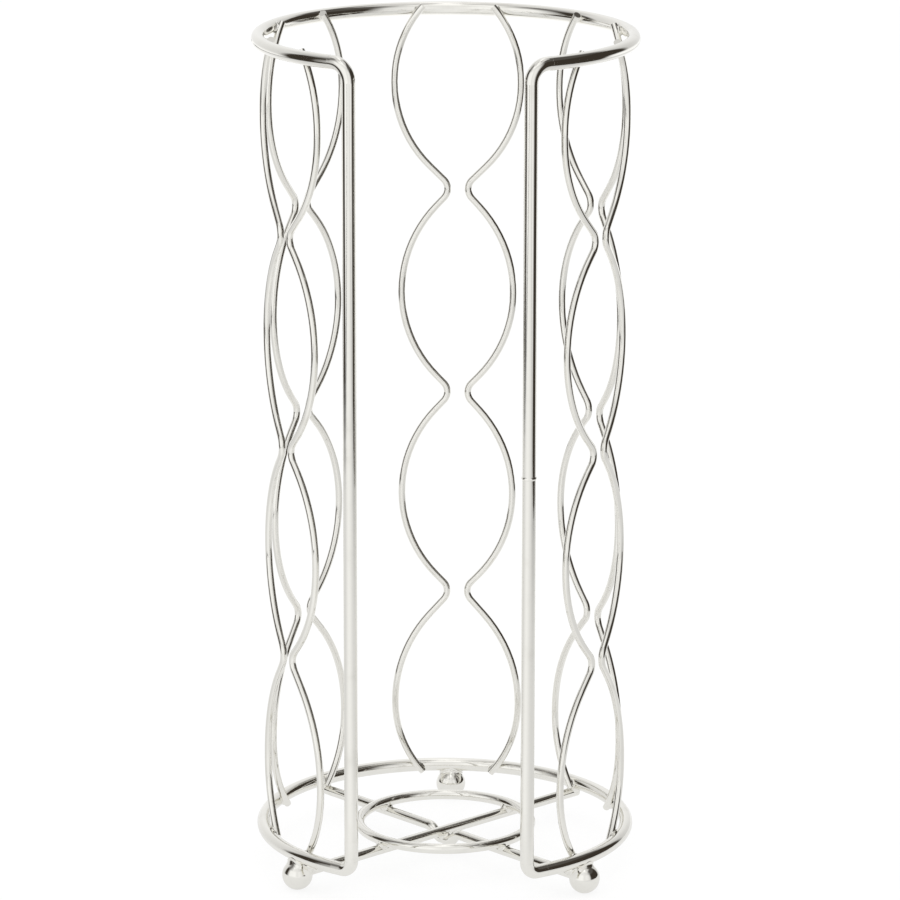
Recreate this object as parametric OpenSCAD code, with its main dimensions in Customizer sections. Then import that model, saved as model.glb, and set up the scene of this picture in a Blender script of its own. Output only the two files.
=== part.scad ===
// Free-standing wire holder for spare toilet rolls, in millimetres.
// The origin is on the axis of the rings, on the surface that the feet stand on.
// +Z is up, -Y is the open front, and +X is the right-hand side for a person who stands in front.

/* [Frame] */
// Outside diameter of the top and bottom rings
outer_d = 150; // [146:1:156]
// Height of the whole holder
total_h = 333; // [329:1:337]
// Diameter of the frame's wire
frame_wire_d = 5.3; // [5:0.1:6]
// Distance between the uprights, from centre to centre
opening_w = 68; // [60:1:76]
// Radius of the upper corner bends, on the wire's centre line
top_bend_r = 7; // [6:0.5:8]
// Radius of the lower corner bends, on the wire's centre line
bottom_bend_r = 4.5; // [4:0.5:6]
// Straight wire between a ring's end and its upper corner bend
top_tangent = 1.5; // [1:0.5:3]
// How far the bead of the butt weld stands out of the right upright
bead_h = 0.3; // [0.1:0.1:0.5]

/* [Wave wires] */
// Diameter of the wave wires
wave_wire_d = 2.8; // [2.5:0.1:3.2]
// Gap between a front pair and its upright, as a share of the gap between two pairs
front_gap_share = 0.8; // [0.6:0.05:1.2]
// How far each wire of a pair turns its flat side towards the curve of the rings
wire_turn = 6; // [0:1:12]
// How far the back pair stands to the right of the middle, as seen from above
rear_pair_turn = 2.2; // [0:0.1:4]
// Distance from a ring's centre line to the neck nearest to it, before the lift
end_neck_h = 74.3; // [70:0.1:78]
// How far all necks are lifted, so that the middle one lies above half height
wave_lift = 1.8; // [0:0.1:3]
// Width of a pair at a neck, between centre lines
neck_w = 8.2; // [6:0.1:12]
// Width of a pair at a middle bulge, between centre lines
bulge_w = 45.2; // [36:0.1:50]
// Width of a pair at an end bulge, between centre lines
end_bulge_w = 50.7; // [42:0.1:54]
// Distance from a ring's centre line to the widest place of the end bulge
end_bulge_h = 28.8; // [25:0.1:33]
// Width of a pair where it crosses the rings, between centre lines
ring_crossing_w = 30.6; // [28:0.2:34]
// Straight wire at the widest place of an end bulge
end_flat = 1; // [0.5:0.5:2]
// Straight leg between a neck and a middle bulge
leg_l = 4.5; // [1:0.5:10]
// Straight leg between a neck and an end bulge
end_leg_l = 8; // [1:0.5:12]
// Radius of the bend at a neck, on the wire's centre line
neck_bend_r = 5.4; // [4:0.2:8]
// How far a wave wire runs past the centre line of each ring
wave_end = 1.6; // [1:0.1:1.8]

/* [Base] */
// Diameter of the wire of the cross rods and the base ring
rod_d = 4; // [3.5:0.1:4.5]
// Outside diameter of the base ring
base_ring_d = 72.5; // [60:0.5:80]
// How far the ends of the cross rods stay inside the outside of the bottom ring
rod_end_inset = 1; // [0.5:0.1:2]
// Radius of the four bends of the crank, on the rod's centre line
crank_bend_r = 4; // [3.5:0.5:6]
// Slope of the crank's two sides
crank_angle = 45; // [40:1:50]
// Length of the level stretch at the bottom of the crank
crank_flat = 4; // [3:0.5:6]

/* [Feet] */
// Diameter of the ball feet
foot_d = 12; // [11.5:0.1:12.5]
// Angle of the front feet from the back foot, seen from above
front_foot_angle = 129; // [127:0.5:129]

/* [Welds] */
// How far a wave wire sinks into the rings
wave_weld_depth = 0.3; // [0.1:0.1:0.5]
// How far crossing rods sink into each other, and into the bottom ring
rod_weld_depth = 0.25; // [0.1:0.05:0.5]
// How far a ball sinks into the bottom ring
foot_weld_depth = 0.55; // [0.3:0.05:1]

/* [Hidden] */
$fn = 72;
CHROME = [0.86, 0.86, 0.84];

// A bend is drawn this much thicker than a straight, and the straight runs this far into it,
// so that a wire's stretches join as one solid.
bend_swell = 0.04;
lap = 0.1;

// The two rings
ring_r = (outer_d - frame_wire_d) / 2;
ring_z = foot_d + frame_wire_d / 2 - foot_weld_depth;
top_ring_z = total_h - frame_wire_d / 2;
rings_apart = top_ring_z - ring_z;

// The uprights: each stands in the plane that touches the ring at its end
tangent_l = top_tangent + top_bend_r;
upright_r = norm([ring_r, tangent_l]);
upright_angle = asin(opening_w / 2 / upright_r);
ring_end_angle = upright_angle + atan2(tangent_l, ring_r);
upright_l = rings_apart - top_bend_r - bottom_bend_r;
bottom_tangent = tangent_l - bottom_bend_r;
bead_d = frame_wire_d / 3;

// The wave: half of a bulge rises from a neck to its widest place and swings out as it rises.
// With the leg's length and the neck's radius given, the leg's lean and the bulge's radius follow.
function leg_lean(rise, swing, leg) = 2 * atan2(swing, rise + leg);
function bulge_radius(rise, leg, lean) = (rise - leg * cos(lean)) / sin(lean) - neck_bend_r;
swing = (bulge_w - neck_w) / 2;
rise = (rings_apart / 2 - end_neck_h) / 2;
lean = leg_lean(rise, swing, leg_l);
bulge_r = bulge_radius(rise, leg_l, lean);
end_swing = (end_bulge_w - neck_w) / 2;
low_rise = end_neck_h + wave_lift - end_bulge_h - end_flat / 2;
low_lean = leg_lean(low_rise, end_swing, end_leg_l);
low_bulge_r = bulge_radius(low_rise, end_leg_l, low_lean);
top_rise = end_neck_h - wave_lift - end_bulge_h - end_flat / 2;
top_lean = leg_lean(top_rise, end_swing, end_leg_l);
top_bulge_r = bulge_radius(top_rise, end_leg_l, top_lean);

// From its widest place to the ring, the wire follows an arc of its own
end_arc_h = end_bulge_h - end_flat / 2;
end_arc_swing = (end_bulge_w - ring_crossing_w) / 2;
end_arc_r = end_arc_h / sin(2 * atan2(end_arc_swing, end_arc_h));
end_lean = asin((end_arc_h + wave_end) / end_arc_r);
tip_x = end_bulge_w / 2 - end_arc_r * (1 - cos(end_lean));
wave_run = [
    [0, end_arc_r, -end_lean],
    [end_flat, low_bulge_r, -low_lean],
    [end_leg_l, neck_bend_r, low_lean + lean],
    [leg_l, bulge_r, -2 * lean],
    [leg_l, neck_bend_r, 2 * lean],
    [leg_l, bulge_r, -2 * lean],
    [leg_l, neck_bend_r, lean + top_lean],
    [end_leg_l, top_bulge_r, -top_lean],
    [end_flat, end_arc_r, -end_lean],
];

// The wires of a pair sink into the inside of the rings where they cross them
wave_contact_r = ring_r - (frame_wire_d + wave_wire_d) / 2 + wave_weld_depth;
pair_plane_r = sqrt(pow(wave_contact_r, 2) - pow(ring_crossing_w / 2, 2));

// Five pairs share the way round from upright to upright. From the back to one upright it holds
// five half widths of a pair, two gaps between pairs and the gap beside the upright.
end_bulge_angle = atan2(
    end_bulge_w / 2,
    pair_plane_r - (end_bulge_w - ring_crossing_w) / 2 * sin(wire_turn)
);
pair_gap_angle = (180 - upright_angle - 5 * end_bulge_angle) / (2 + front_gap_share);
pair_angle = 2 * end_bulge_angle + pair_gap_angle;

// The base: the rods pass under the bottom ring and carry the base ring
rod_z = ring_z - (frame_wire_d + rod_d) / 2 + rod_weld_depth;
rod_l = outer_d - 2 * rod_end_inset;
rod_angle = 45;
base_ring_r = (base_ring_d - rod_d) / 2;
base_ring_z = rod_z + rod_d - rod_weld_depth;
crank_depth = rod_d - rod_weld_depth;
crank_side_l = (crank_depth - 2 * crank_bend_r * (1 - cos(crank_angle))) / sin(crank_angle);
crank_side_w = 2 * crank_bend_r * sin(crank_angle) + crank_side_l * cos(crank_angle);
cranked_rod_end_l = (rod_l - crank_flat) / 2 - crank_side_w;
crank_run = [
    [cranked_rod_end_l, crank_bend_r, crank_angle],
    [crank_side_l, crank_bend_r, -crank_angle],
    [crank_flat, crank_bend_r, -crank_angle],
    [crank_side_l, crank_bend_r, crank_angle],
    [cranked_rod_end_l, 0, 0],
];

// A bend of round wire that starts at the origin along +Z and turns towards +X, or -X where the angle is negative
module wire_bend(d, r, angle) {
    turn = sign(angle);
    translate([turn * r, 0, 0])
        rotate([90, 0, 0])
            rotate([0, 0, turn > 0 ? 180 - angle : 0])
                rotate_extrude(angle = abs(angle))
                    translate([r, 0])
                        circle(d = d + bend_swell);
}

// Puts its children at the end of such a bend
module at_bend_end(r, angle) {
    centre_x = sign(angle) * r;
    translate([centre_x, 0, 0])
        rotate([0, angle, 0])
            translate([-centre_x, 0, 0])
                children();
}

// A bent wire. Each step is a straight length, then a bend's radius and angle, where radius 0 ends the wire.
module wire_run(d, steps, i = 0) {
    length = steps[i][0];
    r = steps[i][1];
    angle = steps[i][2];
    start_lap = i > 0 ? lap : 0;
    end_lap = r > 0 ? lap : 0;
    if (length > 0)
        translate([0, 0, -start_lap])
            cylinder(d = d, h = start_lap + length + end_lap);
    if (r > 0)
        translate([0, 0, length]) {
            wire_bend(d, r, angle);
            if (i + 1 < len(steps))
                at_bend_end(r, angle)
                    wire_run(d, steps, i + 1);
        }
}

// A ring of round wire, closed, or open by twice the given angle at the front
module wire_ring(r, d, z, open_angle = 0) {
    translate([0, 0, z])
        rotate([0, 0, open_angle - 90])
            rotate_extrude(angle = 360 - 2 * open_angle)
                translate([r, 0])
                    circle(d = d + bend_swell);
}

// Both rings of the frame, for cutting the seats of what is welded to them
module ring_seats() {
    wire_ring(ring_r, frame_wire_d, ring_z);
    wire_ring(ring_r, frame_wire_d, top_ring_z);
}

// The corner bends and the upright at one side: 1 is the right side, -1 the left
module frame_side(side) {
    mirror([side > 0 ? 0 : 1, 0, 0])
        rotate([0, 0, ring_end_angle])
            translate([0, -ring_r, top_ring_z])
                rotate([0, -90, 0])
                    translate([0, 0, -lap])
                        wire_run(frame_wire_d, [
                            [top_tangent + lap, top_bend_r, -90],
                            [upright_l, bottom_bend_r, -90],
                            [bottom_tangent + lap, 0, 0],
                        ]);
}

module main_frame_wire() {
    color(CHROME) {
        wire_ring(ring_r, frame_wire_d, ring_z, ring_end_angle);
        wire_ring(ring_r, frame_wire_d, top_ring_z, ring_end_angle);
        frame_side(1);
        frame_side(-1);
        butt_weld_bead();
    }
}

// The bead where the frame's wire was closed, at half height on the right upright
module butt_weld_bead() {
    rotate([0, 0, upright_angle])
        translate([0, -upright_r, ring_z + rings_apart / 2])
            rotate_extrude()
                translate([(frame_wire_d - bead_d) / 2 + bead_h, 0])
                    circle(d = bead_d);
}

// One wire of a pair: the pair stands at an angle from the back, and the wire on side 1 or -1 of the pair's middle
module wave_wire(pair, side) {
    color(CHROME)
        rotate([0, 0, -pair])
            difference() {
                translate([side * ring_crossing_w / 2, pair_plane_r, ring_z - wave_end])
                    mirror([side > 0 ? 0 : 1, 0, 0])
                        rotate([0, 0, -wire_turn])
                            translate([tip_x - ring_crossing_w / 2, 0, 0])
                                rotate([0, end_lean, 0])
                                    wire_run(wave_wire_d, wave_run);
                ring_seats();
            }
}

module base_ring() {
    color(CHROME)
        difference() {
            wire_ring(base_ring_r, rod_d, base_ring_z);
            for (turn = [rod_angle, -rod_angle])
                rotate([0, 0, turn])
                    plain_rod();
        }
}

// A straight rod along X at the height of the cross rods
module plain_rod() {
    translate([-rod_l / 2, 0, rod_z])
        rotate([0, 90, 0])
            cylinder(d = rod_d, h = rod_l);
}

// The rod with a crank, along X, at the same height
module cranked_rod() {
    translate([-rod_l / 2, 0, rod_z])
        rotate([0, 90, 0])
            wire_run(rod_d, crank_run);
}

module straight_cross_rod() {
    color(CHROME)
        difference() {
            rotate([0, 0, rod_angle])
                plain_rod();
            ring_seats();
            rotate([0, 0, -rod_angle])
                cranked_rod();
        }
}

module cranked_cross_rod() {
    color(CHROME)
        difference() {
            rotate([0, 0, -rod_angle])
                cranked_rod();
            ring_seats();
        }
}

// A ball under the bottom ring, at an angle from the back
module ball_foot(angle) {
    color(CHROME)
        rotate([0, 0, -angle])
            difference() {
                translate([0, ring_r, foot_d / 2])
                    sphere(d = foot_d);
                ring_seats();
            }
}

main_frame_wire();
wave_wire(rear_pair_turn, -1);  // rear_wave_wire_left
wave_wire(rear_pair_turn, 1);  // rear_wave_wire_right
wave_wire(-pair_angle, 1);  // left_rear_wave_wire_aft
wave_wire(-pair_angle, -1);  // left_rear_wave_wire_fore
wave_wire(-2 * pair_angle, 1);  // left_front_wave_wire_aft
wave_wire(-2 * pair_angle, -1);  // left_front_wave_wire_fore
wave_wire(pair_angle, -1);  // right_rear_wave_wire_aft
wave_wire(pair_angle, 1);  // right_rear_wave_wire_fore
wave_wire(2 * pair_angle, -1);  // right_front_wave_wire_aft
wave_wire(2 * pair_angle, 1);  // right_front_wave_wire_fore
base_ring();
straight_cross_rod();
cranked_cross_rod();
ball_foot(0);  // rear_ball_foot
ball_foot(-front_foot_angle);  // left_front_ball_foot
ball_foot(front_foot_angle);  // right_front_ball_foot
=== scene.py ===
"""Chrome finishes, weld beads, stage, light and camera for a free-standing wire holder for toilet rolls.

Everything is in metres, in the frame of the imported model: the origin is on the axis of the rings, on the
surface that the feet stand on, +Z is up, -Y is the open front and +X is the right-hand side.
"""

import math
import random

import bmesh
import bpy
import numpy as np
from mathutils import Matrix, Vector


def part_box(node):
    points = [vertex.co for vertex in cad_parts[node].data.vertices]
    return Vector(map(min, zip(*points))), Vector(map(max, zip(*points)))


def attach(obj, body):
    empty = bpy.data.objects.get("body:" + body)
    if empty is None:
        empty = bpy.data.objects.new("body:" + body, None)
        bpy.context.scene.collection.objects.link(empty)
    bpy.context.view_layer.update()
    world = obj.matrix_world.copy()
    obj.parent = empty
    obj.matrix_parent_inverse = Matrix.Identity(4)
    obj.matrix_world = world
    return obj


bl_info = {
    "name": "Wire Toilet Roll Holder",
    "version": (1, 0, 0),
    "blender": (4, 5, 0),
    "location": "View3D > Sidebar > Roll Holder",
    "description": "Finishes, weld beads, stage and camera for a chromed wire holder",
    "category": "Add Mesh",
}

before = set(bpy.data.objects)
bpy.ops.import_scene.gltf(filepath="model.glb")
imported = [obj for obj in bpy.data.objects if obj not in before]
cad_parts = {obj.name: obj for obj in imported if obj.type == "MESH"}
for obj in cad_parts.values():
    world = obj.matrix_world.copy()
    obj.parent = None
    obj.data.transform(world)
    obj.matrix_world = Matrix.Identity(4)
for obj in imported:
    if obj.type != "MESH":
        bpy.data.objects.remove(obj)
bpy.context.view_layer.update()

BODY = "root"
MM = 0.001
UP = np.array([0.0, 0.0, 1.0])

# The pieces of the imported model
FRAME_NODE = "main_frame_wire"
BASE_RING_NODE = "base_ring"
STRAIGHT_ROD_NODE = "straight_cross_rod"
CRANKED_ROD_NODE = "cranked_cross_rod"
WAVE_NODES = sorted(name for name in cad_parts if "wave_wire" in name)
FOOT_NODES = sorted(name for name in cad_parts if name.endswith("ball_foot"))


class WireSizes(bpy.types.PropertyGroup):
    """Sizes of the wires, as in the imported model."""

    frame_wire_d: bpy.props.FloatProperty(
        name="Frame wire",
        description="Diameter of the wire of the rings and uprights",
        default=5.3 * MM,
        min=1 * MM,
        subtype="DISTANCE",
        unit="LENGTH",
    )
    wave_wire_d: bpy.props.FloatProperty(
        name="Wave wire",
        description="Diameter of the thin wires between the rings",
        default=2.8 * MM,
        min=1 * MM,
        subtype="DISTANCE",
        unit="LENGTH",
    )
    wave_end: bpy.props.FloatProperty(
        name="Wave wire end",
        description="How far a wave wire runs past the centre line of each ring",
        default=1.6 * MM,
        min=0.0,
        subtype="DISTANCE",
        unit="LENGTH",
    )
    rod_d: bpy.props.FloatProperty(
        name="Rod",
        description="Diameter of the wire of the cross rods and the base ring",
        default=4.0 * MM,
        min=1 * MM,
        subtype="DISTANCE",
        unit="LENGTH",
    )


class WeldBeads(bpy.types.PropertyGroup):
    """Shape of the beads of metal where two wires are welded."""

    wave_size: bpy.props.FloatProperty(
        name="Wave wire weld",
        description="How far the weld fills the gap between a wave wire and a ring",
        default=1.3 * MM,
        min=0.2 * MM,
        subtype="DISTANCE",
        unit="LENGTH",
    )
    rod_size: bpy.props.FloatProperty(
        name="Rod weld",
        description="How far the weld fills the gap between two rods, or a rod and a ring",
        default=2.4 * MM,
        min=0.2 * MM,
        subtype="DISTANCE",
        unit="LENGTH",
    )
    foot_size: bpy.props.FloatProperty(
        name="Foot weld",
        description="How far the weld fills the gap between a ball and the bottom ring",
        default=3.0 * MM,
        min=0.2 * MM,
        subtype="DISTANCE",
        unit="LENGTH",
    )
    unevenness: bpy.props.FloatProperty(
        name="Unevenness",
        description="How much the size of a bead varies round the joint",
        default=0.35,
        min=0.0,
        max=0.6,
        subtype="FACTOR",
    )
    seed: bpy.props.IntProperty(
        name="Seed",
        description="Start of the random numbers that shape the beads",
        default=7,
    )


class ChromeFinish(bpy.types.PropertyGroup):
    """Colour and gloss of the chrome plate."""

    colour: bpy.props.FloatVectorProperty(
        name="Chrome",
        description="Colour of the clean plate",
        default=(0.88, 0.868, 0.822),
        min=0.0,
        max=1.0,
        size=3,
        subtype="COLOR",
    )
    haze_colour: bpy.props.FloatVectorProperty(
        name="Haze",
        description="Colour of the plate where it is slightly hazy",
        default=(0.82, 0.806, 0.757),
        min=0.0,
        max=1.0,
        size=3,
        subtype="COLOR",
    )
    gloss_roughness: bpy.props.FloatProperty(
        name="Gloss",
        description="Roughness of the clean plate",
        default=0.07,
        min=0.0,
        max=1.0,
        subtype="FACTOR",
    )
    haze_roughness: bpy.props.FloatProperty(
        name="Haze roughness",
        description="Roughness of the plate where it is slightly hazy",
        default=0.16,
        min=0.0,
        max=1.0,
        subtype="FACTOR",
    )
    ripple: bpy.props.FloatProperty(
        name="Ripple",
        description="Height of the slow ripple that drawing leaves along the wire",
        default=0.03 * MM,
        min=0.0,
        precision=6,
        subtype="DISTANCE",
        unit="LENGTH",
    )


class StudioStage(bpy.types.PropertyGroup):
    """Floor, surround and camera."""

    floor_left: bpy.props.FloatProperty(
        name="Floor left",
        description="Distance from the holder's axis to the left edge of the white floor",
        default=0.88,
        min=0.2,
        subtype="DISTANCE",
        unit="LENGTH",
    )
    floor_right: bpy.props.FloatProperty(
        name="Floor right",
        description="Distance from the holder's axis to the right edge of the white floor",
        default=0.62,
        min=0.2,
        subtype="DISTANCE",
        unit="LENGTH",
    )
    floor_half_length: bpy.props.FloatProperty(
        name="Floor half length",
        description="Distance from the holder's axis to the front and back edges of the white floor",
        default=3.0,
        min=0.5,
        subtype="DISTANCE",
        unit="LENGTH",
    )
    floor_shadow: bpy.props.FloatProperty(
        name="Floor shadow",
        description="Share of the floor's light that the holder can shade",
        default=0.22,
        min=0.0,
        max=1.0,
        subtype="FACTOR",
    )
    # Painted reflection: only glossy rays see this dark colour; the camera and diffuse light see white there
    surround: bpy.props.FloatVectorProperty(
        name="Surround",
        description="Colour of the dim room at both sides, as the chrome mirrors it",
        default=(0.040, 0.033, 0.026),
        min=0.0,
        max=1.0,
        size=3,
        subtype="COLOR",
    )
    camera_distance: bpy.props.FloatProperty(
        name="Camera distance",
        description="Distance from the camera to the point that it looks at",
        default=1.8785,
        min=0.5,
        subtype="DISTANCE",
        unit="LENGTH",
    )
    camera_elevation: bpy.props.FloatProperty(
        name="Camera elevation",
        description="Angle of the camera above the horizon",
        default=math.radians(14.11),
        subtype="ANGLE",
        unit="ROTATION",
    )
    camera_azimuth: bpy.props.FloatProperty(
        name="Camera azimuth",
        description="Angle of the camera to the right of the open front",
        default=math.radians(1.9),
        subtype="ANGLE",
        unit="ROTATION",
    )


class HolderSettings(bpy.types.PropertyGroup):
    """All that a user may change."""

    wires: bpy.props.PointerProperty(type=WireSizes, name="Wires", description="Sizes of the wires")
    welds: bpy.props.PointerProperty(type=WeldBeads, name="Welds", description="Shape of the weld beads")
    chrome: bpy.props.PointerProperty(type=ChromeFinish, name="Chrome", description="Finish of the plate")
    stage: bpy.props.PointerProperty(type=StudioStage, name="Stage", description="Floor, surround and camera")


# Shader nodes

# How rough the noise is from one scale of lumps to the next, and how many scales each kind has
CLOUD_ROUGHNESS = 0.55
CLOUD_DETAIL = 4.0
SPOT_DETAIL = 2.0
RIPPLE_DETAIL = 1.0

# The levels of noise at which haze begins and is full, and how far a full share of haze lowers both
HAZE_FROM = 0.62
HAZE_FULL = 0.86
HAZE_SPREAD = 0.3

# Fine spots in the gloss: their size, the levels of noise where they begin and are full, and their dullness
SPOT_SIZE = 1.6 * MM
SPOTS_FROM = (0.45, 0.8)
SPOT_DULLNESS = 0.25


def add_node(tree, kind, inputs=None, **settings):
    """Adds a node, sets its properties, and fills or links its inputs."""
    node = tree.nodes.new(kind)
    for name, value in settings.items():
        setattr(node, name, value)
    for key, value in (inputs or {}).items():
        if isinstance(value, bpy.types.NodeSocket):
            tree.links.new(value, node.inputs[key])
        else:
            node.inputs[key].default_value = value
    return node


def calculate(tree, operation, *values):
    """The output of a Math node."""
    return add_node(tree, "ShaderNodeMath", dict(enumerate(values)), operation=operation).outputs[0]


def remap(tree, value, low, high, start, end, kind="SMOOTHSTEP"):
    """The output of a Map Range node."""
    inputs = {0: value, 1: low, 2: high, 3: start, 4: end}
    return add_node(tree, "ShaderNodeMapRange", inputs, interpolation_type=kind).outputs[0]


def blend_colours(tree, share, first, second):
    """The output of a node that mixes two colours."""
    inputs = {0: share, 6: (*first, 1.0), 7: (*second, 1.0)}
    return add_node(tree, "ShaderNodeMix", inputs, data_type="RGBA").outputs[2]


def clouds(tree, place, size, detail):
    """Noise with lumps of the given size."""
    inputs = {"Vector": place, "Scale": 1.0 / size, "Detail": detail, "Roughness": CLOUD_ROUGHNESS}
    return add_node(tree, "ShaderNodeTexNoise", inputs).outputs[0]


def bump(tree, height, distance, normal=None):
    """The output of a Bump node, on top of another where one is given."""
    inputs = {"Height": height, "Distance": distance, "Strength": 1.0}
    if normal is not None:
        inputs["Normal"] = normal
    return add_node(tree, "ShaderNodeBump", inputs).outputs[0]


def chrome_material(name, haze_share, cloud_size, ripple_size, ripple_height, pit_height):
    """Chrome plate on steel: clouds in the gloss, a slow ripple under the plate and fine pits in it."""
    finish = bpy.context.scene.roll_holder.chrome
    material = bpy.data.materials.new(name)
    material.use_nodes = True
    tree = material.node_tree
    tree.nodes.clear()
    place = add_node(tree, "ShaderNodeTexCoord").outputs["Object"]
    cloud = clouds(tree, place, cloud_size, CLOUD_DETAIL)
    lowered = HAZE_SPREAD * haze_share
    haze = remap(tree, cloud, HAZE_FROM - lowered, HAZE_FULL - lowered, 0.0, 1.0)
    fine = clouds(tree, place, SPOT_SIZE, SPOT_DETAIL)
    spots = remap(tree, fine, *SPOTS_FROM, 0.0, SPOT_DULLNESS)
    worn = calculate(tree, "MAXIMUM", haze, spots)
    roughness = remap(tree, worn, 0.0, 1.0, finish.gloss_roughness, finish.haze_roughness, "LINEAR")
    colour = blend_colours(tree, worn, finish.colour, finish.haze_colour)
    ripple = bump(tree, clouds(tree, place, ripple_size, RIPPLE_DETAIL), ripple_height)
    pits = bump(tree, fine, pit_height, ripple)
    shader = add_node(
        tree,
        "ShaderNodeBsdfPrincipled",
        {"Base Color": colour, "Metallic": 1.0, "Roughness": roughness, "Normal": pits},
    )
    add_node(tree, "ShaderNodeOutputMaterial", {"Surface": shader.outputs[0]})
    return material


def paint(names, material):
    """Gives CAD nodes a material in place of their plain one."""
    for name in names:
        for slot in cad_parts[name].material_slots:
            slot.material = material


# Weld beads


def ring_distance(points, radius, height, wire_r):
    """Distance from points to the skin of a level ring of round wire."""
    out = np.hypot(points[..., 0], points[..., 1]) - radius
    return np.hypot(out, points[..., 2] - height) - wire_r


def wire_distance(points, line, wire_r):
    """Distance from points to the skin of a bent wire that ends flat at the first point of its line."""
    near = np.full(points.shape[:-1], np.inf)
    for start, end in zip(line, line[1:]):
        way = end - start
        share = np.clip((points - start) @ way / (way @ way), 0 if start is not line[0] else -1, 1)
        near = np.minimum(near, np.linalg.norm(points - start - share[..., None] * way, axis=-1))
    out = (line[0] - line[1]) / np.linalg.norm(line[0] - line[1])
    return np.maximum(near - wire_r, (points - line[0]) @ out)


def rod_distance(points, start, end, rod_r):
    """Distance from points to the skin of a round rod with flat ends."""
    length = np.linalg.norm(end - start)
    along = (points - start) @ ((end - start) / length)
    axis_points = start + along[..., None] * (end - start) / length
    side = np.linalg.norm(points - axis_points, axis=-1) - rod_r
    past = np.abs(along - length / 2) - length / 2
    outside = np.hypot(np.maximum(side, 0), np.maximum(past, 0))
    return outside + np.minimum(np.maximum(side, past), 0)


def ball_distance(points, centre, ball_r):
    """Distance from points to the skin of a ball."""
    return np.linalg.norm(points - centre, axis=-1) - ball_r


def merged_distance(first, second, size):
    """Distance to the two skins once metal fills the gap between them."""
    share = np.maximum(size - np.abs(first - second), 0) / size
    return np.minimum(first, second) - share * share * size / 4


class WeldPlace:
    """A joint of two wires: the distance to each, where they touch, and the way from the second to the first.

    The way along the joint sets where its turns are counted from, and the radii say how thick each wire is.
    """

    def __init__(self, first, second, touch, way, along, first_r, second_r):
        self.first = first
        self.second = second
        self.touch = np.array(touch, float)
        self.way = np.array(way, float) / np.linalg.norm(way)
        self.along = np.array(along, float) - np.dot(along, self.way) * self.way
        self.along /= np.linalg.norm(self.along)
        self.across = np.cross(self.way, self.along)
        self.first_r = first_r
        self.second_r = second_r


# The points of a bead: how many round it, and how many from one wire to the other. A power above one crowds
# them where the wires meet.
BEAD_TURNS = 44
BEAD_ROWS = 15
ROW_CROWDING = 1.4

# The lumps of a bead: how many times each wave goes round it, and its share of the unevenness
LUMPS = ((1, 0.5), (3, 0.3), (5, 0.2))

# A bead is looked at from this many radii of the thinner wire, towards points at this share of each radius
EYE_REACH = 2.3
AIM_DEPTH = 0.85

# How often the gap between the wires is halved to find its middle, and how a ray steps towards the skin
HALVINGS = 30
RAY_STEPS = 60
RAY_STRIDE = 0.9

# Where a bead has thinned out, it lies this far under the wire's skin
HIDDEN = 0.05 * MM

# Distances from a ring's centre line, in millimetres, at which the middle of a wave wire is looked up
WAVE_STEPS = (0.0, 3.0, 5.0, 7.0)

# How far the weld of the two rods follows the bottom of the crank, to each side
CRANK_REACH = 3.0 * MM


def bead_points(place, size, unevenness, dice):
    """Rows of points of a weld's skin, found by looking into the gap from all round it."""
    turn = np.linspace(0, 2 * math.pi, BEAD_TURNS, endpoint=False)
    lumps = sum(share * np.sin(waves * turn + dice.uniform(0, 2 * math.pi)) for waves, share in LUMPS)
    sizes = (size * (1 + unevenness * lumps))[:, None]
    reach = EYE_REACH * min(place.first_r, place.second_r)
    out = np.cos(turn)[:, None] * place.along + np.sin(turn)[:, None] * place.across
    start = place.touch + reach * out
    low = np.full(BEAD_TURNS, -place.second_r)
    high = np.full(BEAD_TURNS, place.first_r)
    for _ in range(HALVINGS):
        middle = (low + high) / 2
        points = start + middle[:, None] * place.way
        nearer_second = place.first(points) > place.second(points)
        low = np.where(nearer_second, middle, low)
        high = np.where(nearer_second, high, middle)
    eyes = start + ((low + high) / 2)[:, None] * place.way
    share = np.linspace(-1, 1, BEAD_ROWS)
    share = np.sign(share) * np.abs(share) ** ROW_CROWDING
    depth = AIM_DEPTH * np.where(share > 0, share * place.first_r, share * place.second_r)
    aims = place.touch + depth[:, None] * place.way
    rays = aims[None, :, :] - eyes[:, None, :]
    lengths = np.linalg.norm(rays, axis=-1)
    rays /= lengths[..., None]
    travelled = np.zeros(lengths.shape)
    for _ in range(RAY_STEPS):
        points = eyes[:, None, :] + travelled[..., None] * rays
        gap = merged_distance(place.first(points) + HIDDEN, place.second(points) + HIDDEN, sizes)
        travelled = np.minimum(travelled + RAY_STRIDE * gap, lengths)
    return eyes[:, None, :] + travelled[..., None] * rays, aims[0], aims[-1]


def add_bead(mesh, place, size, unevenness, dice):
    """Adds one closed bead of weld metal to a mesh."""
    rows, low_end, high_end = bead_points(place, size, unevenness, dice)
    verts = [[mesh.verts.new(point) for point in row] for row in rows]
    low_end = mesh.verts.new(low_end)
    high_end = mesh.verts.new(high_end)
    for this, following in zip(verts, verts[1:] + verts[:1]):
        for i in range(BEAD_ROWS - 1):
            mesh.faces.new((this[i], following[i], following[i + 1], this[i + 1]))
        mesh.faces.new((following[0], this[0], low_end))
        mesh.faces.new((this[-1], following[-1], high_end))


def make_welds(node, places, size, material):
    """Makes the beads of one CAD piece's welds as one object that rides with it."""
    welds = bpy.context.scene.roll_holder.welds
    dice = random.Random(f"{welds.seed} {node}")
    mesh = bmesh.new()
    for place in places:
        add_bead(mesh, place, size, welds.unevenness, dice)
    bmesh.ops.recalc_face_normals(mesh, faces=mesh.faces)
    data = bpy.data.meshes.new(f"{node}_welds")
    mesh.to_mesh(data)
    mesh.free()
    data.shade_smooth()
    data.materials.append(material)
    beads = bpy.data.objects.new(f"{node}_welds", data)
    bpy.context.scene.collection.objects.link(beads)
    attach(beads, BODY)


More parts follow.
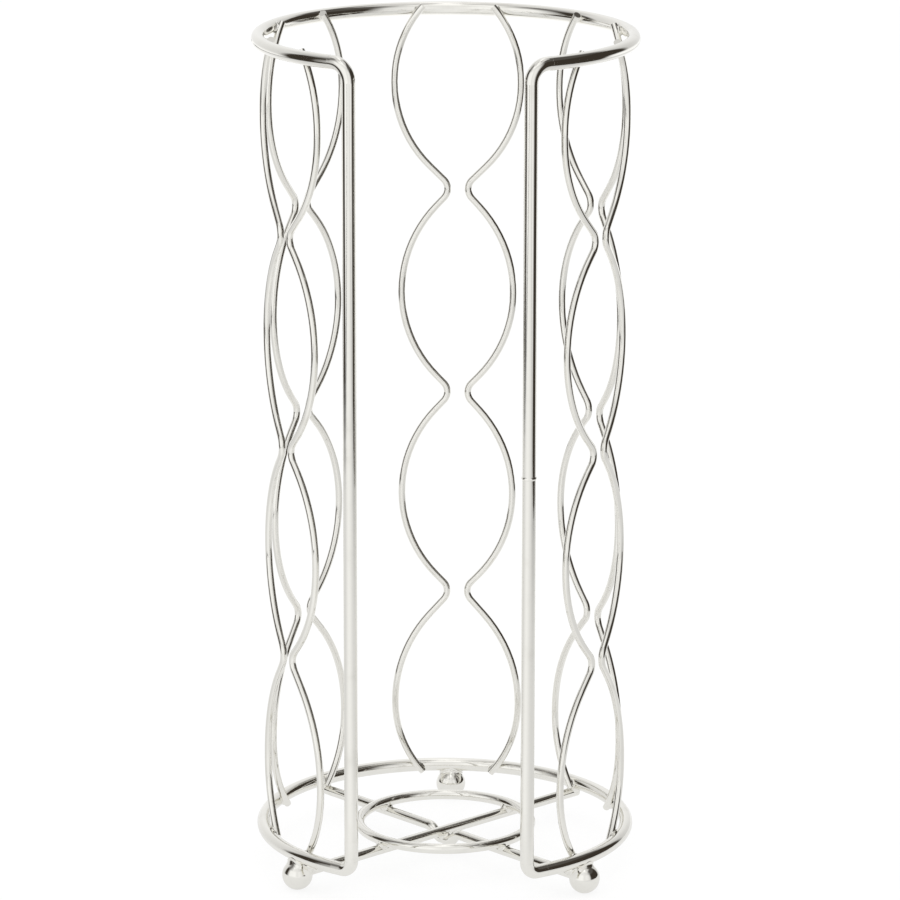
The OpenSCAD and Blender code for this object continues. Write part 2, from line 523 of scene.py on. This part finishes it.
def weld_material():
    """The plate over the weld metal, duller and more uneven than on the wire. All beads share it."""
    found = bpy.data.materials.get("chrome_on_welds")
    return found or chrome_material(
        "chrome_on_welds",
        haze_share=0.6,
        cloud_size=2.0 * MM,
        ripple_size=1.5 * MM,
        ripple_height=0.03 * MM,
        pit_height=0.002 * MM,
    )


def section_centre(node, height):
    """The middle of a node's section at a height."""
    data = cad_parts[node].data
    data.calc_loop_triangles()
    corners = np.zeros(len(data.vertices) * 3)
    data.vertices.foreach_get("co", corners)
    corners = corners.reshape(-1, 3)
    triangles = np.zeros(len(data.loop_triangles) * 3, int)
    data.loop_triangles.foreach_get("vertices", triangles)
    cut = []
    for i, j in ((0, 1), (1, 2), (2, 0)):
        pair = corners[triangles.reshape(-1, 3)[:, (i, j)]]
        rise = pair[:, :, 2] - height
        crosses = rise[:, 0] * rise[:, 1] < 0
        share = rise[crosses, 0] / (rise[crosses, 0] - rise[crosses, 1])
        cut.append(pair[crosses, 0] + share[:, None] * (pair[crosses, 1] - pair[crosses, 0]))
    cut = np.concatenate(cut)
    return (cut.min(0) + cut.max(0)) / 2


def ring_sizes():
    """Centre-line radius of the frame's rings, and the heights of the bottom and the top one."""
    wires = bpy.context.scene.roll_holder.wires
    low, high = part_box(FRAME_NODE)
    wire_r = wires.frame_wire_d / 2
    return (high.x - low.x) / 2 - wire_r, low.z + wire_r, high.z - wire_r


def rod_height():
    """Height of the centre line of the straight cross rod."""
    low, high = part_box(STRAIGHT_ROD_NODE)
    return high.z - bpy.context.scene.roll_holder.wires.rod_d / 2


def rod_ends(node):
    """Both ends of a cross rod's centre line, at the rods' level, from its front end to its back end."""
    low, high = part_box(node)
    inset = bpy.context.scene.roll_holder.wires.rod_d / 2 * math.sqrt(0.5)
    reach = high.x - inset
    side = 1 if node == STRAIGHT_ROD_NODE else -1
    height = rod_height()
    return np.array([-side * reach, -reach, height]), np.array([side * reach, reach, height])


def rod_weld_places(node, radius, height, ring_wire_r, touch_height):
    """The two joints where a cross rod passes under a level ring."""
    rod_r = bpy.context.scene.roll_holder.wires.rod_d / 2
    start, end = rod_ends(node)
    places = []
    for near, far in ((start, end), (end, start)):
        out = near * (1, 1, 0) / np.linalg.norm(near[:2])
        places.append(
            WeldPlace(
                lambda points: ring_distance(points, radius, height, ring_wire_r),
                lambda points, a=near, b=far: rod_distance(points, a, b, rod_r),
                out * radius + UP * touch_height,
                UP,
                out,
                ring_wire_r,
                rod_r,
            )
        )
    return places


class HOLDER_OT_chrome_frame(bpy.types.Operator):
    """Finishes the rings, corner bends and uprights in polished chrome"""

    bl_idname = "roll_holder.chrome_frame"
    bl_label = "Main frame wire"

    def execute(self, context):
        material = chrome_material(
            "chrome_on_frame_wire",
            haze_share=0.3,
            cloud_size=14 * MM,
            ripple_size=9 * MM,
            ripple_height=context.scene.roll_holder.chrome.ripple,
            pit_height=0.0005 * MM,
        )
        paint([FRAME_NODE], material)
        return {"FINISHED"}


class HOLDER_OT_chrome_waves(bpy.types.Operator):
    """Finishes the ten wave wires in polished chrome"""

    bl_idname = "roll_holder.chrome_waves"
    bl_label = "Wave wires"

    def execute(self, context):
        material = chrome_material(
            "chrome_on_wave_wire",
            haze_share=0.3,
            cloud_size=10 * MM,
            ripple_size=6 * MM,
            ripple_height=context.scene.roll_holder.chrome.ripple * 0.6,
            pit_height=0.0005 * MM,
        )
        paint(WAVE_NODES, material)
        return {"FINISHED"}


class HOLDER_OT_chrome_base(bpy.types.Operator):
    """Finishes the base ring and both cross rods in polished chrome"""

    bl_idname = "roll_holder.chrome_base"
    bl_label = "Base ring and cross rods"

    def execute(self, context):
        material = chrome_material(
            "chrome_on_base_wire",
            haze_share=0.3,
            cloud_size=12 * MM,
            ripple_size=10 * MM,
            ripple_height=context.scene.roll_holder.chrome.ripple * 0.5,
            pit_height=0.0004 * MM,
        )
        paint([BASE_RING_NODE, STRAIGHT_ROD_NODE, CRANKED_ROD_NODE], material)
        return {"FINISHED"}


class HOLDER_OT_chrome_feet(bpy.types.Operator):
    """Finishes the three ball feet in polished chrome"""

    bl_idname = "roll_holder.chrome_feet"
    bl_label = "Ball feet"

    def execute(self, context):
        material = chrome_material(
            "chrome_on_ball_feet",
            haze_share=0.2,
            cloud_size=8 * MM,
            ripple_size=5 * MM,
            ripple_height=0.01 * MM,
            pit_height=0.0004 * MM,
        )
        paint(FOOT_NODES, material)
        return {"FINISHED"}


class HOLDER_OT_wave_welds(bpy.types.Operator):
    """Welds both ends of each wave wire to the inside of the rings"""

    bl_idname = "roll_holder.wave_welds"
    bl_label = "Wave wire welds"

    def execute(self, context):
        settings = context.scene.roll_holder
        frame_r = settings.wires.frame_wire_d / 2
        wave_r = settings.wires.wave_wire_d / 2
        radius, bottom, top = ring_sizes()
        for node in WAVE_NODES:
            places = []
            for height, inward in ((bottom, 1), (top, -1)):
                line = [section_centre(node, height + inward * step * MM) for step in WAVE_STEPS]
                flat = line[0] * (1, 1, 0)
                centre_r = np.linalg.norm(flat)
                out = flat / centre_r
                line[0] = line[0] + out * (centre_r - (radius - frame_r - wave_r))
                along = (line[1] - line[0]) / np.linalg.norm(line[1] - line[0])
                line[0] = line[0] - along * settings.wires.wave_end
                places.append(
                    WeldPlace(
                        lambda points, wire=line: wire_distance(points, wire, wave_r),
                        lambda points, h=height: ring_distance(points, radius, h, frame_r),
                        out * (radius - frame_r) + UP * height,
                        -out,
                        along,
                        wave_r,
                        frame_r,
                    )
                )
            make_welds(node, places, settings.welds.wave_size, weld_material())
        return {"FINISHED"}


class HOLDER_OT_rod_welds(bpy.types.Operator):
    """Welds the cross rods to the bottom ring, and the straight one to the cranked one"""

    bl_idname = "roll_holder.rod_welds"
    bl_label = "Cross rod welds"

    def execute(self, context):
        settings = context.scene.roll_holder
        frame_r = settings.wires.frame_wire_d / 2
        rod_r = settings.wires.rod_d / 2
        radius, bottom, _ = ring_sizes()
        places = {
            node: rod_weld_places(node, radius, bottom, frame_r, bottom - frame_r)
            for node in (STRAIGHT_ROD_NODE, CRANKED_ROD_NODE)
        }
        start, end = rod_ends(STRAIGHT_ROD_NODE)
        crank_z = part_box(CRANKED_ROD_NODE)[0].z + rod_r
        crank = np.array([0.0, 0.0, crank_z])
        crank_way = (rod_ends(CRANKED_ROD_NODE)[1] * (1, 1, 0)) / np.linalg.norm(end[:2])
        half = CRANK_REACH * crank_way
        places[STRAIGHT_ROD_NODE].append(
            WeldPlace(
                lambda points: rod_distance(points, start, end, rod_r),
                lambda points: rod_distance(points, crank - half, crank + half, rod_r),
                crank + UP * rod_r,
                UP,
                end - start,
                rod_r,
                rod_r,
            )
        )
        for node, found in places.items():
            make_welds(node, found, settings.welds.rod_size, weld_material())
        return {"FINISHED"}


class HOLDER_OT_base_ring_welds(bpy.types.Operator):
    """Welds the base ring to the cross rods in four places"""

    bl_idname = "roll_holder.base_ring_welds"
    bl_label = "Base ring welds"

    def execute(self, context):
        settings = context.scene.roll_holder
        rod_r = settings.wires.rod_d / 2
        low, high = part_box(BASE_RING_NODE)
        radius = (high.x - low.x) / 2 - rod_r
        height = high.z - rod_r
        places = []
        for node in (STRAIGHT_ROD_NODE, CRANKED_ROD_NODE):
            places += rod_weld_places(node, radius, height, rod_r, rod_height() + rod_r)
        make_welds(BASE_RING_NODE, places, settings.welds.rod_size, weld_material())
        return {"FINISHED"}


class HOLDER_OT_foot_welds(bpy.types.Operator):
    """Welds the three ball feet to the underside of the bottom ring"""

    bl_idname = "roll_holder.foot_welds"
    bl_label = "Ball foot welds"

    def execute(self, context):
        settings = context.scene.roll_holder
        frame_r = settings.wires.frame_wire_d / 2
        radius, bottom, _ = ring_sizes()
        for node in FOOT_NODES:
            low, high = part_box(node)
            ball_r = (high.x - low.x) / 2
            centre = np.array([(low.x + high.x) / 2, (low.y + high.y) / 2, low.z + ball_r])
            out = centre * (1, 1, 0) / np.linalg.norm(centre[:2])
            place = WeldPlace(
                lambda points: ring_distance(points, radius, bottom, frame_r),
                lambda points, c=centre, r=ball_r: ball_distance(points, c, r),
                out * radius + UP * (bottom - frame_r),
                UP,
                out,
                frame_r,
                ball_r,
            )
            make_welds(node, [place], settings.welds.foot_size, weld_material())
        return {"FINISHED"}


# Stage, light and camera

# What the chrome mirrors round the holder, painted into the world for glossy rays only: angles from the back,
# clockwise from above, and how light it is there, under the horizon, over it and high up. A painted
# reflection of a dim room lies at both sides; the camera and diffuse light see white there.
UNDER_WALLS = (
    (-180, 0.85), (-165, 0.98), (-126, 1.00), (-106, 0.00), (-75, 0.00), (-65, 0.88), (-45, 0.96), (0, 1.00),
    (52, 1.00), (60, 0.85), (68, 0.00), (118, 0.00), (134, 0.70), (150, 0.94), (165, 0.94), (180, 0.85),
)
LOW_WALLS = (
    (-180, 0.80), (-165, 0.97), (-120, 0.92), (-106, 0.45), (-97, 0.00), (-76, 0.00), (-68, 0.66),
    (-45, 0.74), (-10, 0.86), (15, 0.77), (30, 0.66), (43, 0.58), (50, 0.00), (124, 0.00), (138, 0.74),
    (160, 0.88), (180, 0.80),
)
HIGH_WALLS = (
    (-180, 0.80), (-140, 0.86), (-114, 0.42), (-100, 0.15), (-86, 0.13), (-73, 0.36), (-60, 0.54),
    (-42, 0.64), (-18, 0.76), (0, 0.94), (14, 0.80), (26, 0.62), (36, 0.16), (46, 0.04), (118, 0.05),
    (150, 0.72), (180, 0.80),
)

# Heights, as the sine of the angle over the horizon, between which one list gives way to the next, and the
# highest one to the ceiling
HORIZON_FROM = (-0.12, -0.02)
HIGH_FROM = (0.54, 0.68)
CEILING_FROM = (0.84, 0.96)

# How light the painted ceiling is, as glossy rays alone see it, and how far aside it gives way to the painted
# light strip overhead
CEILING_LIGHT = 0.42
OVERHEAD_STRIP = (0.08, 0.18)
WHITE = (1.0, 1.0, 1.0)
# Painted reflection: glossy rays see the white surround this much brighter than the camera does
MIRRORED_WHITE = 1.10

# How light the floor is as the camera sees it, and then the painted light and shade on it that only the
# chrome mirrors: aside, how much lighter behind and ahead, and how much less it gains towards the front right
FLOOR_WHITE = 1.02
FLOOR_SIDE = 0.75
FLOOR_BACK = 0.33
FLOOR_FRONT = 0.18
FLOOR_FRONT_RIGHT = -0.22

# The even level of painted light close to the holder, dimmer than the painted floor behind and ahead, and the
# distances from its axis over which it ends
FLOOR_NEAR = 0.88
FLOOR_NEAR_TO = (0.09, 0.18)

# Painted light falloff that only the chrome mirrors: the floor dims from this distance to its right edge,
# down to a level, and fades out before its left edge
FLOOR_RIGHT_FROM = 0.3
FLOOR_RIGHT_EDGE = 0.75
FLOOR_LEFT_FADE = 0.24
FLOOR_SQUARES = (8, 24)

SOFTBOX_SIZE = 1.8
SOFTBOX_WATTS = 2.5
SOFTBOX_PLACE = (0.0, -0.2, 2.0)

LENS_MM = 191.34
SENSOR_MM = 36.0
CLIP_NEAR = 0.05
CLIP_FAR = 50.0
CAMERA_ROLL = math.radians(0.0857)
LOOK_AT = (1.85 * MM, 0.0, 166.7 * MM)


def light_round(tree, turn, walls):
    """How light the surround is at a share of a full turn, between the angles of a list."""
    node = add_node(tree, "ShaderNodeValToRGB", {0: turn})
    stops = node.color_ramp.elements
    for i, (angle, light) in enumerate(walls):
        place = angle / 360 + 0.5
        stop = stops[i] if i < 2 else stops.new(place)
        stop.position = place
        stop.color = (light, light, light, 1.0)
    return node.outputs[0]


def mix_values(tree, share, first, second):
    """The output of a node that mixes two numbers."""
    return add_node(tree, "ShaderNodeMix", {0: share, 2: first, 3: second}, data_type="FLOAT").outputs[0]


def build_world(settings):
    """A white surround with a painted reflection of a dim room at both sides. Only glossy rays see it, so the
    chrome mirrors it while the camera and diffuse light see white.
    """
    world = bpy.data.worlds.new("studio")
    bpy.context.scene.world = world
    world.use_nodes = True
    world.cycles.sampling_method = "NONE"
    tree = world.node_tree
    tree.nodes.clear()
    direction = add_node(tree, "ShaderNodeTexCoord").outputs["Generated"]
    parts = add_node(tree, "ShaderNodeSeparateXYZ", {0: direction})
    azimuth = calculate(tree, "ARCTAN2", parts.outputs["X"], parts.outputs["Y"])
    turn = calculate(tree, "MULTIPLY_ADD", azimuth, 0.5 / math.pi, 0.5)
    height = parts.outputs["Z"]
    walls = light_round(tree, turn, UNDER_WALLS)
    for span, above in ((HORIZON_FROM, LOW_WALLS), (HIGH_FROM, HIGH_WALLS)):
        walls = mix_values(tree, remap(tree, height, *span, 0.0, 1.0), walls, light_round(tree, turn, above))
    aside = calculate(tree, "ABSOLUTE", parts.outputs["X"])
    beside_strip = remap(tree, aside, *OVERHEAD_STRIP, 0.0, 1.0)
    ceiling = calculate(tree, "MULTIPLY", remap(tree, height, *CEILING_FROM, 0.0, 1.0), beside_strip)
    light = mix_values(tree, ceiling, walls, CEILING_LIGHT)
    # Painted reflection: only glossy rays see the dark surround and the brighter white
    glossy = add_node(tree, "ShaderNodeLightPath").outputs["Is Glossy Ray"]
    dim = calculate(tree, "MULTIPLY", calculate(tree, "SUBTRACT", 1.0, light), glossy)
    colour = blend_colours(tree, dim, WHITE, settings.surround)
    strength = remap(tree, glossy, 0.0, 1.0, 1.0, MIRRORED_WHITE, "LINEAR")
    background = add_node(tree, "ShaderNodeBackground", {"Color": colour, "Strength": strength})
    add_node(tree, "ShaderNodeOutputWorld", {"Surface": background.outputs[0]})


def painted_floor_light(tree, settings):
    """Painted light and shade on the floor that only the chrome mirrors: even near the holder, lightest far
    behind it, dimmer aside.
    """
    place = add_node(tree, "ShaderNodeTexCoord").outputs["Object"]
    way = add_node(tree, "ShaderNodeVectorMath", {0: place}, operation="NORMALIZE").outputs[0]
    parts = add_node(tree, "ShaderNodeSeparateXYZ", {0: way})
    right = parts.outputs["X"]
    behind = calculate(tree, "MAXIMUM", parts.outputs["Y"], 0.0)
    ahead = calculate(tree, "MINIMUM", parts.outputs["Y"], 0.0)
    front_gain = calculate(tree, "MULTIPLY_ADD", right, FLOOR_FRONT_RIGHT, FLOOR_FRONT)
    back_share = calculate(tree, "MULTIPLY", behind, behind)
    back_level = calculate(tree, "MULTIPLY_ADD", back_share, FLOOR_BACK, FLOOR_SIDE)
    front_share = calculate(tree, "MULTIPLY", ahead, ahead)
    level = calculate(tree, "MULTIPLY_ADD", front_share, front_gain, back_level)
    aside = add_node(tree, "ShaderNodeSeparateXYZ", {0: place}).outputs["X"]
    right_edge = remap(tree, aside, FLOOR_RIGHT_FROM, settings.floor_right, 1.0, FLOOR_RIGHT_EDGE)
    left_edge = remap(tree, aside, -settings.floor_left, FLOOR_LEFT_FADE - settings.floor_left, 0.0, 1.0)
    away = add_node(tree, "ShaderNodeVectorMath", {0: place}, operation="LENGTH").outputs["Value"]
    level = mix_values(tree, remap(tree, away, *FLOOR_NEAR_TO, 0.0, 1.0), FLOOR_NEAR, level)
    return calculate(tree, "MULTIPLY", level, calculate(tree, "MULTIPLY", right_edge, left_edge))


def floor_material(settings):
    """White floor that keeps a soft shadow, and whose glow carries painted light and shade for glossy rays.
    """
    material = bpy.data.materials.new("white_floor")
    material.use_nodes = True
    material.cycles.emission_sampling = "NONE"
    tree = material.node_tree
    tree.nodes.clear()
    share = settings.floor_shadow
    # Painted light and shade: for glossy rays the floor's glow follows the painted floor light, less the
    # share that its real shadow carries
    unshaded = calculate(tree, "SUBTRACT", painted_floor_light(tree, settings), share)
    mirrored = calculate(tree, "MAXIMUM", unshaded, 0.0)
    glossy = add_node(tree, "ShaderNodeLightPath").outputs["Is Glossy Ray"]
    strength = mix_values(tree, glossy, FLOOR_WHITE - share, mirrored)
    emission = add_node(tree, "ShaderNodeEmission", {"Color": (*WHITE, 1.0), "Strength": strength})
    diffuse = add_node(tree, "ShaderNodeBsdfDiffuse", {"Color": (share, share, share, 1.0)})
    both = add_node(tree, "ShaderNodeAddShader", {0: emission.outputs[0], 1: diffuse.outputs[0]})
    add_node(tree, "ShaderNodeOutputMaterial", {"Surface": both.outputs[0]})
    return material


def build_floor(settings):
    """The white floor, as wide as the sweep of paper that the chrome mirrors."""
    mesh = bmesh.new()
    bmesh.ops.create_grid(mesh, x_segments=FLOOR_SQUARES[0], y_segments=FLOOR_SQUARES[1], size=1.0)
    half_width = (settings.floor_left + settings.floor_right) / 2
    bmesh.ops.scale(mesh, vec=(half_width, settings.floor_half_length, 1.0), verts=mesh.verts)
    bmesh.ops.translate(mesh, vec=(settings.floor_right - half_width, 0.0, 0.0), verts=mesh.verts)
    data = bpy.data.meshes.new("floor")
    mesh.to_mesh(data)
    mesh.free()
    data.materials.append(floor_material(settings))
    floor = bpy.data.objects.new("floor", data)
    bpy.context.scene.collection.objects.link(floor)


def build_lamp():
    """One wide soft lamp overhead."""
    light = bpy.data.lights.new("softbox", "AREA")
    light.shape = "SQUARE"
    light.size = SOFTBOX_SIZE
    light.energy = SOFTBOX_WATTS
    lamp = bpy.data.objects.new("softbox", light)
    lamp.location = SOFTBOX_PLACE
    lamp.visible_camera = False
    bpy.context.scene.collection.objects.link(lamp)


def build_camera(settings):
    """The camera that took the photograph."""
    elevation = settings.camera_elevation
    right = Vector((1.0, 0.0, 0.0))
    up = Vector((0.0, math.sin(elevation), math.cos(elevation)))
    back = right.cross(up)
    rolled_right = right * math.cos(CAMERA_ROLL) + up * math.sin(CAMERA_ROLL)
    rolled_up = up * math.cos(CAMERA_ROLL) - right * math.sin(CAMERA_ROLL)
    turned = Matrix.Rotation(settings.camera_azimuth, 3, "Z")
    axes = Matrix((turned @ rolled_right, turned @ rolled_up, turned @ back)).transposed().to_4x4()
    spot = turned @ (Vector(LOOK_AT) + back * settings.camera_distance)
    data = bpy.data.cameras.new("camera")
    data.sensor_width = SENSOR_MM
    data.lens = LENS_MM
    data.clip_start = CLIP_NEAR
    data.clip_end = CLIP_FAR
    camera = bpy.data.objects.new("camera", data)
    bpy.context.scene.collection.objects.link(camera)
    camera.matrix_world = Matrix.Translation(spot) @ axes
    bpy.context.scene.camera = camera


class HOLDER_OT_stage(bpy.types.Operator):
    """Sets the floor, the surround, the lamp and the camera"""

    bl_idname = "roll_holder.stage"
    bl_label = "Stage, light and camera"

    def execute(self, context):
        settings = context.scene.roll_holder.stage
        context.scene.view_settings.view_transform = "Standard"
        build_world(settings)
        build_floor(settings)
        build_lamp()
        build_camera(settings)
        return {"FINISHED"}


OPERATORS = (
    HOLDER_OT_stage,
    HOLDER_OT_chrome_frame,
    HOLDER_OT_chrome_waves,
    HOLDER_OT_chrome_base,
    HOLDER_OT_chrome_feet,
    HOLDER_OT_wave_welds,
    HOLDER_OT_rod_welds,
    HOLDER_OT_base_ring_welds,
    HOLDER_OT_foot_welds,
)


class HOLDER_PT_panel(bpy.types.Panel):
    """Lists the settings and what is built from them"""

    bl_idname = "HOLDER_PT_panel"
    bl_label = "Wire toilet roll holder"
    bl_space_type = "VIEW_3D"
    bl_region_type = "UI"
    bl_category = "Roll Holder"

    def draw(self, context):
        settings = context.scene.roll_holder
        for group in (settings.wires, settings.welds, settings.chrome, settings.stage):
            column = self.layout.column(align=True)
            for name in group.__annotations__:
                column.prop(group, name)
        for operator in OPERATORS:
            self.layout.operator(operator.bl_idname)


CLASSES = (WireSizes, WeldBeads, ChromeFinish, StudioStage, HolderSettings, *OPERATORS, HOLDER_PT_panel)


def register():
    """Registers the classes and the scene's settings."""
    for cls in CLASSES:
        bpy.utils.register_class(cls)
    bpy.types.Scene.roll_holder = bpy.props.PointerProperty(type=HolderSettings)


def unregister():
    """Removes the scene's settings and the classes."""
    del bpy.types.Scene.roll_holder
    for cls in reversed(CLASSES):
        bpy.utils.unregister_class(cls)


def main():
    """Builds everything in order."""
    register()
    bpy.ops.roll_holder.stage()
    bpy.ops.roll_holder.chrome_frame()
    bpy.ops.roll_holder.chrome_waves()
    bpy.ops.roll_holder.chrome_base()
    bpy.ops.roll_holder.chrome_feet()
    bpy.ops.roll_holder.wave_welds()
    bpy.ops.roll_holder.rod_welds()
    bpy.ops.roll_holder.base_ring_welds()
    bpy.ops.roll_holder.foot_welds()


if __name__ == "__main__":
    main()
